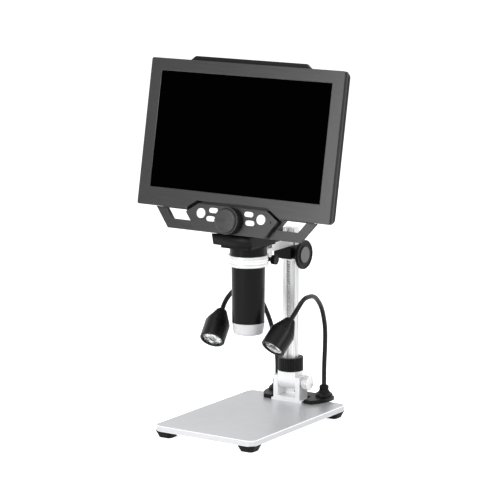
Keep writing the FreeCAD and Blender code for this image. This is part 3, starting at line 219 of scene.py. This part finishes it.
def math_node(mat, operation, first, second=0.0):
    """One sum on values; each is a socket or a number."""
    node = mat.node_tree.nodes.new("ShaderNodeMath")
    node.operation = operation
    for target, value in zip(node.inputs, (first, second)):
        if isinstance(value, bpy.types.NodeSocket):
            link(mat, value, target)
        else:
            target.default_value = value
    return node.outputs[0]


def mix_colors(mat, factor, first, second):
    """A colour between two colours; each is a socket or a colour."""
    node = mat.node_tree.nodes.new("ShaderNodeMix")
    node.data_type = "RGBA"
    link(mat, factor, node.inputs["Factor"])
    for socket, color in (("A", first), ("B", second)):
        target = [s for s in node.inputs if s.name == socket and s.type == "RGBA"][0]
        if isinstance(color, bpy.types.NodeSocket):
            link(mat, color, target)
        else:
            target.default_value = (*color, 1.0)
    return [s for s in node.outputs if s.type == "RGBA"][0]


def surface_normal(mat):
    """The plain normal of the surface."""
    return add_node(mat, "ShaderNodeNewGeometry").outputs["Normal"]


def softened(mat, radius):
    """The normal with every edge rounded by a small radius."""
    return add_node(mat, "ShaderNodeBevel", Radius=radius).outputs["Normal"]


def vector_node(mat, operation, first, second):
    """One measure of two vectors; the second is a socket or a vector."""
    node = mat.node_tree.nodes.new("ShaderNodeVectorMath")
    node.operation = operation
    link(mat, first, node.inputs[0])
    if isinstance(second, bpy.types.NodeSocket):
        link(mat, second, node.inputs[1])
    else:
        node.inputs[1].default_value = second
    return node.outputs["Value"]


def near_edges(mat, soft_normal):
    """1 along the rounded edges, 0 on the faces."""
    agreement = vector_node(mat, "DOT_PRODUCT", soft_normal, surface_normal(mat))
    return blend_range(mat, agreement, 0.995, 0.90)


def split_axes(mat, vector):
    """The X, Y and Z of a vector."""
    node = mat.node_tree.nodes.new("ShaderNodeSeparateXYZ")
    link(mat, vector, node.inputs["Vector"])
    return node.outputs


def base_color(mat):
    """What feeds the shader's colour so far."""
    return shader_of(mat).inputs["Base Color"].links[0].from_socket


def set_relief(mat, height, distance):
    """Drives the finish's bump by another height."""
    bump = [n for n in mat.node_tree.nodes if n.type == "BUMP"][0]
    link(mat, height, bump.inputs["Height"])
    bump.inputs["Distance"].default_value = distance


def scaled(color, factor):
    """A colour made lighter or darker, up to white."""
    return tuple(min(c * factor, 1.0) for c in color)


def finished(name, color, rough, spread=0.06, grain=1800.0, depth=0.00001, edge=0.0003, edge_highlight=1.3,
             pebbled=False, **more):
    """A surface with fine grain, uneven gloss, cloudy colour and edges painted lighter as a painted
    highlight.
    """
    mat = material(name, color, rough, **more)
    fine = spark(mat, grain) if pebbled else noise(mat, grain, 3.0)
    cloud = blend_range(mat, noise(mat, 35.0, 4.0), 0.35, 0.65)
    clouded = mix_colors(mat, cloud, scaled(color, 1 - spread), scaled(color, 1 + spread))
    soft = softened(mat, edge)
    highlit_edges = near_edges(mat, soft)
    # Painted highlight: the colour is made lighter along the rounded edges.
    tint = mix_colors(mat, highlit_edges, clouded, scaled(color, edge_highlight))
    link(mat, tint, shader_of(mat).inputs["Base Color"])
    gloss = blend_range(mat, noise(mat, 90.0, 5.0), 0.3, 0.7, rough - 0.04, rough + 0.04)
    link(mat, gloss, shader_of(mat).inputs["Roughness"])
    bump = add_node(mat, "ShaderNodeBump", Strength=1.0, Distance=depth)
    link(mat, fine, bump.inputs["Height"])
    link(mat, soft, bump.inputs["Normal"])
    link(mat, bump.outputs["Normal"], shader_of(mat).inputs["Normal"])
    return mat


def brushed(name, color, rough, stretch, depth=0.000004, **more):
    """Extruded or turned metal with fine lines along one direction."""
    mat = finished(name, color, rough, spread=0.03, edge_highlight=1.08, **more)
    lines = noise(mat, 900.0, 3.0, stretch)
    set_relief(mat, lines, depth)
    shader = shader_of(mat)
    lined = mix_colors(mat, blend_range(mat, lines, 0.35, 0.62), scaled(color, 0.70), base_color(mat))
    link(mat, lined, shader.inputs["Base Color"])
    streaks = blend_range(mat, lines, 0.3, 0.7, rough - 0.05, rough + 0.07)
    link(mat, streaks, shader.inputs["Roughness"])
    return mat


# Materials

def hairline_grey():
    """Dark grey plastic with a hairline finish that runs along each side of the screen's frame."""
    mat = finished("hairline_grey", (0.010, 0.010, 0.011), 0.36, specular=0.42, edge_highlight=4.0, edge=0.0005)
    along = noise(mat, 1500.0, 3.0, (0.02, 1.0, 1.0))
    upward = noise(mat, 1500.0, 3.0, (1.0, 1.0, 0.02))
    across = math_node(mat, "ABSOLUTE", split_axes(mat, coordinates(mat))["X"])
    turn = WINDOW_HALF_WIDTH * MM
    at_side = blend_range(mat, across, turn, turn + 0.0004)
    at_middle = math_node(mat, "SUBTRACT", 1.0, at_side)
    lines = math_node(mat, "ADD", math_node(mat, "MULTIPLY", upward, at_side),
                      math_node(mat, "MULTIPLY", along, at_middle))
    shader = shader_of(mat)
    streak = math_node(mat, "MULTIPLY", blend_range(mat, lines, 0.35, 0.68), 0.35)
    face = mix_colors(mat, streak, base_color(mat), (0.030, 0.030, 0.033))
    # Faces that do not face out of the screen lose the streaks and the painted edge highlight and get less
    # gloss, so the sides and the gaps between parts render darker: painted shade.
    front = vector_node(mat, "DOT_PRODUCT", surface_normal(mat), SCREEN_OUT)
    faces_out = blend_range(mat, front, 0.55, 0.75)
    link(mat, mix_colors(mat, faces_out, (0.011, 0.011, 0.011), face), shader.inputs["Base Color"])
    link(mat, blend_range(mat, faces_out, 0.0, 1.0, 0.20, 0.47), shader.inputs["Specular IOR Level"])
    link(mat, blend_range(mat, lines, 0.3, 0.7, 0.31, 0.39), shader.inputs["Roughness"])
    set_relief(mat, lines, 0.000004)
    return mat


def plate_aluminium():
    """Fine blasted and anodised aluminium with bright machined bevels: bare metal, lighter than the
    anodised faces, and painted lighter still as a painted highlight.
    """
    mat = finished("plate_aluminium", (0.53, 0.535, 0.555), 0.36, spread=0.012, grain=2600.0,
                   depth=0.000006, metallic=0.55, edge_highlight=1.35, edge=0.0002)
    speck = math_node(mat, "MULTIPLY", blend_range(mat, noise(mat, 3200.0, 2.0), 0.42, 0.60), 0.12)
    speckled = mix_colors(mat, speck, base_color(mat), (0.80, 0.80, 0.82))
    slope = math_node(mat, "ABSOLUTE", split_axes(mat, surface_normal(mat))["Z"])
    level = blend_range(mat, slope, 0.80, 0.95)
    upright = blend_range(mat, slope, 0.45, 0.60, 1.0, 0.0)
    # The sloped bevel faces get a near-white colour: partly the lighter bare metal of the bevel, partly a
    # painted highlight.
    cut_and_highlight = math_node(mat, "SUBTRACT", 1.0, math_node(mat, "MAXIMUM", level, upright))
    bright = mix_colors(mat, cut_and_highlight, speckled, (0.93, 0.93, 0.94))
    link(mat, bright, shader_of(mat).inputs["Base Color"])
    return mat


def lamp_glass():
    """Clear plastic with a faint haze."""
    mat = finished("clear_glass", (0.96, 0.97, 0.98), 0.06, spread=0.0, edge_highlight=1.0, depth=0.000001)
    shader_of(mat).inputs["Transmission Weight"].default_value = 1.0
    shader_of(mat).inputs["IOR"].default_value = 1.47
    return mat


def lens_face(node):
    """The lamp's clear lens with a painted highlight: a bright broken band of opaque white near its rim.
    """
    mat = lamp_glass()
    mat.name = "lens_face"
    corners = [vertex.co for vertex in node.data.vertices]
    middle = sum(corners, Vector()) / len(corners)
    reach = max((corner - middle).length for corner in corners)
    distance = vector_node(mat, "DISTANCE", coordinates(mat), middle)
    inner = blend_range(mat, distance, *(reach * share for share in RING_FADE_IN))
    outer = blend_range(mat, distance, *(reach * share for share in RING_FADE_OUT), 1.0, 0.0)
    broken = blend_range(mat, noise(mat, 180.0, 1.0), 0.46, 0.56)
    ring = math_node(mat, "MULTIPLY", math_node(mat, "MULTIPLY", inner, outer), broken)
    # Painted highlight: where the band lies, the lens turns opaque and shows its near-white colour.
    link(mat, math_node(mat, "SUBTRACT", 1.0, ring), shader_of(mat).inputs["Transmission Weight"])
    return mat


def frosted_cap():
    """Frosted white plastic that lets some light through."""
    mat = finished("diffuser_white", (0.62, 0.62, 0.635), 0.42, spread=0.01, edge_highlight=1.04)
    shader = shader_of(mat)
    shader.inputs["Subsurface Weight"].default_value = 0.35
    shader.inputs["Subsurface Radius"].default_value = (0.004, 0.004, 0.004)
    return mat


def make_materials():
    """One finished material for each slot of the record."""
    made = [
        hairline_grey(),
        plate_aluminium(),
        frosted_cap(),
        lamp_glass(),
        finished("bright_aluminium", (0.86, 0.86, 0.867), 0.32, spread=0.02, metallic=0.4, edge_highlight=1.15,
                 depth=0.000002),
        finished("bright_steel", (0.60, 0.60, 0.61), 0.28, metallic=1.0),
        finished("knurled_silver", (0.78, 0.78, 0.79), 0.26, metallic=0.6, edge_highlight=1.2),
        finished("black_rubber", (0.006, 0.006, 0.006), 0.62, specular=0.12, grain=1200.0,
                 depth=0.00003, pebbled=True),
        finished("satin_black_metal", (0.0045, 0.0045, 0.005), 0.30, specular=0.17, edge_highlight=3.0),
        finished("gloss_black", (0.003, 0.003, 0.003), 0.42, specular=0.10, edge_highlight=4.0),
        finished("black_plastic", (0.0035, 0.0035, 0.0035), 0.40, specular=0.14, edge_highlight=3.0, pebbled=True),
        finished("grey_black_plastic", (0.016, 0.016, 0.0175), 0.38, specular=0.28, edge_highlight=2.2,
                 pebbled=True, grain=2200.0),
        finished("cap_grey", (0.13, 0.13, 0.135), 0.45),
        finished("white_plastic", (0.88, 0.88, 0.88), 0.35, spread=0.01, edge_highlight=1.0),
        finished("circuit_green", (0.010, 0.085, 0.030), 0.40),
        finished("battery_blue", (0.10, 0.13, 0.20), 0.30),
        finished("neck_black", (0.0035, 0.0035, 0.0035), 0.34, specular=0.2, grain=1200.0, depth=0.00002),
        finished("screen_black", (0.0004, 0.0004, 0.0004), 0.30, specular=0.0, edge_highlight=1.0),
        brushed("column_aluminium", (0.84, 0.84, 0.85), 0.28, (1.0, 1.0, 0.02), metallic=0.45),
        brushed("turned_black", (0.007, 0.007, 0.0075), 0.24, (1.0, 1.0, 12.0), specular=0.09),
        brushed("turned_silver", (0.80, 0.80, 0.805), 0.24, (0.02, 0.02, 1.0), metallic=0.6),
    ]
    return {mat.name.split(".")[0]: mat for mat in made}


# Nodes whose surface differs from the rest of their slot
OWN_FINISH = {
    "barrel_tube": "turned_black",
    "column": "column_aluminium",
    "column_rack": "column_aluminium",
    "focus_dial": "hairline_grey",
    "holder_ring": "turned_silver",
}

materials = make_materials()


def dress_nodes():
    """Gives every carried-over node its finished material, and each lamp's lens its own."""
    slots = {part["node"]: part["material_slot"] for part in frame["record"]["subparts"]}
    for name, node in nodes.items():
        node.data.materials.clear()
        node.data.materials.append(materials[OWN_FINISH.get(name, slots[name])])
    for side in ("left", "right"):
        lens = nodes[side + "_lamp_lens"]
        lens.data.materials[0] = lens_face(lens)


dress_nodes()


# Pieces that refine the solids, drawn as flat outlines in millimetres

def monitor_axes():
    """From across, up and out of the screen to the whole object's axes."""
    turn = Matrix((Vector((1.0, 0.0, 0.0)), SCREEN_UP, SCREEN_OUT)).transposed().to_4x4()
    return Matrix.Translation(SCREEN_MIDDLE) @ turn


def side_axes():
    """From a side view's back and up, and across, to the whole object's axes."""
    across = (0.0, 0.0, 1.0)
    back = (1.0, 0.0, 0.0)
    up = (0.0, 1.0, 0.0)
    return Matrix((across, back, up)).to_4x4()


def rounded(corners, radius, steps=5):
    """An outline with each corner rounded."""
    points = []
    for i, corner in enumerate(corners):
        here = Vector(corner)
        before = (Vector(corners[i - 1]) - here).normalized()
        after = (Vector(corners[(i + 1) % len(corners)]) - here).normalized()
        half = before.angle(after) / 2
        start = here + before * radius / math.tan(half)
        end = here + after * radius / math.tan(half)
        for step in range(steps + 1):
            share = step / steps
            points.append((start.lerp(here, share)).lerp(here.lerp(end, share), share))
    return points


def circle(center, radius, count=24):
    """A round outline."""
    turns = [2 * math.pi * i / count for i in range(count)]
    return [(center[0] + radius * math.cos(t), center[1] + radius * math.sin(t)) for t in turns]


def stadium(center, half_length, radius, steps=10):
    """A round or pill-shaped outline."""
    points = []
    for side in (1, -1):
        for i in range(steps + 1):
            turn = math.pi * (i / steps - 0.5)
            points.append((center[0] + side * (half_length + radius * math.cos(turn)),
                           center[1] + side * radius * math.sin(turn)))
    return points


def rectangle(half_width, low, high):
    """A rectangle that is even about the middle."""
    return [(-half_width, low), (half_width, low), (half_width, high), (-half_width, high)]


def slab(outlines, low, high, bevel=0.25):
    """A plate between two heights with bevelled rims; outlines inside the first are openings."""
    curve = bpy.data.curves.new("slab", "CURVE")
    curve.dimensions = "2D"
    curve.fill_mode = "BOTH"
    for outline in outlines:
        spline = curve.splines.new("POLY")
        spline.points.add(len(outline) - 1)
        for target, (x, y) in zip(spline.points, outline):
            target.co = (x * MM, y * MM, 0.0, 1.0)
        spline.use_cyclic_u = True
    curve.extrude = ((high - low) / 2 - bevel) * MM
    curve.bevel_depth = bevel * MM
    curve.bevel_resolution = 1
    curve.offset = -bevel * MM
    holder = bpy.data.objects.new("slab", curve)
    mesh = bpy.data.meshes.new_from_object(holder)
    mesh.transform(Matrix.Translation((0.0, 0.0, (low + high) / 2 * MM)))
    bpy.data.objects.remove(holder)
    bpy.data.curves.remove(curve)
    return mesh


def piece_of(name, meshes, axes, finish, body, *replaced):
    """One piece from several meshes, carried to its place and fixed to a body."""
    whole = bmesh.new()
    for mesh in meshes:
        whole.from_mesh(mesh)
        bpy.data.meshes.remove(mesh)
    bmesh.ops.transform(whole, matrix=axes, verts=whole.verts)
    mesh = bpy.data.meshes.new(name)
    whole.to_mesh(mesh)
    whole.free()
    mesh.materials.clear()
    mesh.materials.append(materials[finish])
    piece = bpy.data.objects.new(name, mesh)
    bpy.context.scene.collection.objects.link(piece)
    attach(piece, body)
    if replaced:
        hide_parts(*replaced)
    return piece


def case_outline(inset):
    """The monitor's outline with the notch over the control panel."""
    half = BEZEL_HALF_WIDTH - inset
    low = BEZEL_LOW + inset
    notch_low = NOTCH_LOW_HALF + inset
    notch_high = NOTCH_TOP_HALF + inset * NOTCH_WALL_SHARE
    notch_top = BEZEL_LOW + NOTCH_HEIGHT + inset
    lower = [(-notch_low, low), (-notch_high, notch_top), (notch_high, notch_top), (notch_low, low)]
    frame_corners = rounded(rectangle(half, low, BEZEL_HIGH - inset), BEZEL_CORNER)
    count = len(frame_corners) // 4
    return frame_corners[:count] + lower + frame_corners[count:]


def screen_bezel():
    """The monitor's front frame: a crisp face with bevelled edges on a thin-walled rim."""
    window = rectangle(WINDOW_HALF_WIDTH, -WINDOW_HALF_HEIGHT, WINDOW_HALF_HEIGHT)
    meshes = [slab([case_outline(0.0), window], 0.0, BEZEL_FRONT, BEZEL_BEVEL),
              slab([case_outline(0.0), case_outline(SHELL_WALL)], BEZEL_BACK, OVERLAP, FINE_BEVEL)]
    piece_of("screen_bezel", meshes, monitor_axes(), "hairline_grey", "head", "front_bezel")


def frame_outline(inset, top):
    """The wing frame's four-sided outline, drawn in from its slanted sides and lower edge."""
    slope = (FRAME_TOP_HALF - FRAME_LOW_HALF) / (FRAME_TOP - FRAME_LOW)
    low = FRAME_LOW + inset
    half_low = FRAME_LOW_HALF + (low - FRAME_LOW) * slope - inset * math.hypot(1, slope)
    half_top = half_low + (top - low) * slope
    return [(-half_low, low), (half_low, low), (half_top, top), (-half_top, top)]


def button_frame():
    """The frame under the monitor: a thin face with two windows on a deeper body."""
    windows = [[(side * a, b) for a, b in FRAME_WINDOW] for side in (-1, 1)]
    shaft = circle((0.0, DIAL_PLACE), SHAFT_HOLE)
    face = frame_outline(0.0, FRAME_TOP)
    body = frame_outline(FRAME_RIM, FRAME_APRON_TOP)
    tail = rectangle(TAIL_HALF_WIDTH, FRAME_APRON_TOP - TAIL_LAP, TAIL_TOP)
    meshes = [slab([face, shaft] + windows, FRAME_STEP, FRAME_FRONT),
              slab([body, shaft] + windows, FRAME_BACK, FRAME_STEP - STEP_GAP),
              slab([tail], FRAME_BACK, FRAME_STEP - 2 * STEP_GAP)]
    piece_of("button_frame", meshes, monitor_axes(), "hairline_grey", "head", "wing_frame")


def button_panel():
    """The six-sided panel with its button openings, a thin face on a walled body."""
    outline = [(-PANEL_FLAT, PANEL_LOW), (PANEL_FLAT, PANEL_LOW), (PANEL_TIP, PANEL_TIP_PLACE),
               (PANEL_FLAT, PANEL_TOP), (-PANEL_FLAT, PANEL_TOP), (-PANEL_TIP, PANEL_TIP_PLACE)]
    inner = [(a * PANEL_INNER_WIDTH, PANEL_TIP_PLACE + (b - PANEL_TIP_PLACE) * PANEL_INNER_HEIGHT)
             for a, b in outline]
    openings = [circle((0.0, DIAL_PLACE), SHAFT_HOLE), circle(MICROPHONE_PLACE, MICROPHONE_RADIUS, 16)]
    for side in (-1, 1):
        for (a, b), half_length, radius in BUTTONS:
            openings.append(stadium((side * a, b), half_length, radius))
    meshes = [slab([outline] + openings, PANEL_FACE_BACK, 0.0, PANEL_BEVEL),
              slab([outline, inner], PANEL_BACK, PANEL_FACE_BACK + OVERLAP, FINE_BEVEL)]
    piece_of("button_panel", meshes, monitor_axes(), "hairline_grey", "head", "control_panel")


def head_cover():
    """The head's flared cover: two side walls and a lip that leans forward under the panel."""
    side = [(COVER_FRONT, COVER_LOW), (COVER_BACK, COVER_LOW), (COVER_BACK, COVER_BACK_TOP),
            (COVER_CREST_BACK, COVER_CREST), (COVER_CREST_FRONT, COVER_CREST), COVER_BROW, COVER_TIP]
    behind_lip = COVER_FRONT + LIP_WALL
    lip = [(COVER_FRONT, COVER_LOW), (behind_lip, COVER_LOW), (behind_lip, LIP_SHOULDER), COVER_TIP]
    lip_half = COVER_INNER + 2 * OVERLAP
    meshes = [slab([rounded(side, COVER_CORNER)], COVER_INNER, COVER_OUTER, COVER_CORNER),
              slab([rounded(side, COVER_CORNER)], -COVER_OUTER, -COVER_INNER, COVER_CORNER),
              slab([lip], -lip_half, lip_half, LIP_BEVEL)]
    piece = piece_of("head_cover", meshes, side_axes(), "gloss_black", "head")


screen_bezel()
button_frame()
button_panel()
head_cover()


# Stage, light and camera

def make_stage():
    """The white floor: it keeps the shadow, and the camera and gloss see it as white."""
    half = FLOOR_HALF
    mesh = bpy.data.meshes.new("floor")
    corners = [(-half, -half, 0), (half, -half, 0), (half, half, 0), (-half, half, 0)]
    mesh.from_pydata(corners, [], [(0, 1, 2, 3)])
    floor = bpy.data.objects.new("floor", mesh)
    bpy.context.scene.collection.objects.link(floor)
    mat = material("floor_white", (0.80, 0.80, 0.80), 0.9, specular=0.0)
    seen = seen_directly(mat.node_tree)
    shader = shader_of(mat)
    shader.inputs["Emission Color"].default_value = (1.0, 1.0, 1.0, 1.0)
    link(mat, math_node(mat, "MULTIPLY", seen, FLOOR_LIFT), shader.inputs["Emission Strength"])
    floor.data.materials.append(mat)


def seen_directly(tree):
    """1 where the camera, a reflection or a clear piece shows the surface."""
    path = tree.nodes.new("ShaderNodeLightPath")
    seen = path.outputs["Is Camera Ray"]
    for name in ("Is Glossy Ray", "Is Transmission Ray"):
        either = tree.nodes.new("ShaderNodeMath")
        either.operation = "MAXIMUM"
        tree.links.new(seen, either.inputs[0])
        tree.links.new(path.outputs[name], either.inputs[1])
        seen = either.outputs[0]
    return seen


def make_world():
    """A white surround for the camera and for gloss, and a plain level of light."""
    world = bpy.data.worlds.new("studio")
    bpy.context.scene.world = world
    world.use_nodes = True
    tree = world.node_tree
    tree.nodes.clear()
    output = tree.nodes.new("ShaderNodeOutputWorld")
    mix = tree.nodes.new("ShaderNodeMixShader")
    tree.links.new(seen_directly(tree), mix.inputs["Fac"])
    for target, strength in ((mix.inputs[1], WORLD_LEVEL), (mix.inputs[2], 1.0)):
        background = tree.nodes.new("ShaderNodeBackground")
        background.inputs["Color"].default_value = (1.0, 1.0, 1.0, 1.0)
        background.inputs["Strength"].default_value = strength
        tree.links.new(background.outputs[0], target)
    tree.links.new(mix.outputs[0], output.inputs["Surface"])


def area_light(name, place, target, size, power):
    """A soft rectangular lamp aimed at a point."""
    data = bpy.data.lights.new(name, "AREA")
    data.shape = "RECTANGLE"
    data.size, data.size_y = size
    data.energy = power
    lamp = bpy.data.objects.new(name, data)
    bpy.context.scene.collection.objects.link(lamp)
    lamp.location = place
    lamp.rotation_euler = (Vector(target) - Vector(place)).to_track_quat("-Z", "Y").to_euler()


def make_camera():
    """The camera at the photograph's viewing angle."""
    azimuth = math.radians(CAMERA_AZIMUTH)
    elevation = math.radians(CAMERA_ELEVATION)
    back = Vector((math.sin(azimuth) * math.cos(elevation),
                   -math.cos(azimuth) * math.cos(elevation), math.sin(elevation)))
    data = bpy.data.cameras.new("camera")
    data.lens = CAMERA_LENS
    data.sensor_width = 36.0
    data.shift_x, data.shift_y = CAMERA_SHIFT
    data.clip_start = 0.1
    data.clip_end = 20.0
    camera = bpy.data.objects.new("camera", data)
    bpy.context.scene.collection.objects.link(camera)
    camera.location = CAMERA_TARGET + back * CAMERA_DISTANCE
    camera.rotation_euler = (-back).to_track_quat("-Z", "Y").to_euler()
    bpy.context.scene.camera = camera


make_stage()
make_world()
for lamp_name, lamp_values in LAMPS.items():
    area_light(lamp_name, *lamp_values)
make_camera()
bpy.context.scene.view_settings.view_transform = "Standard"
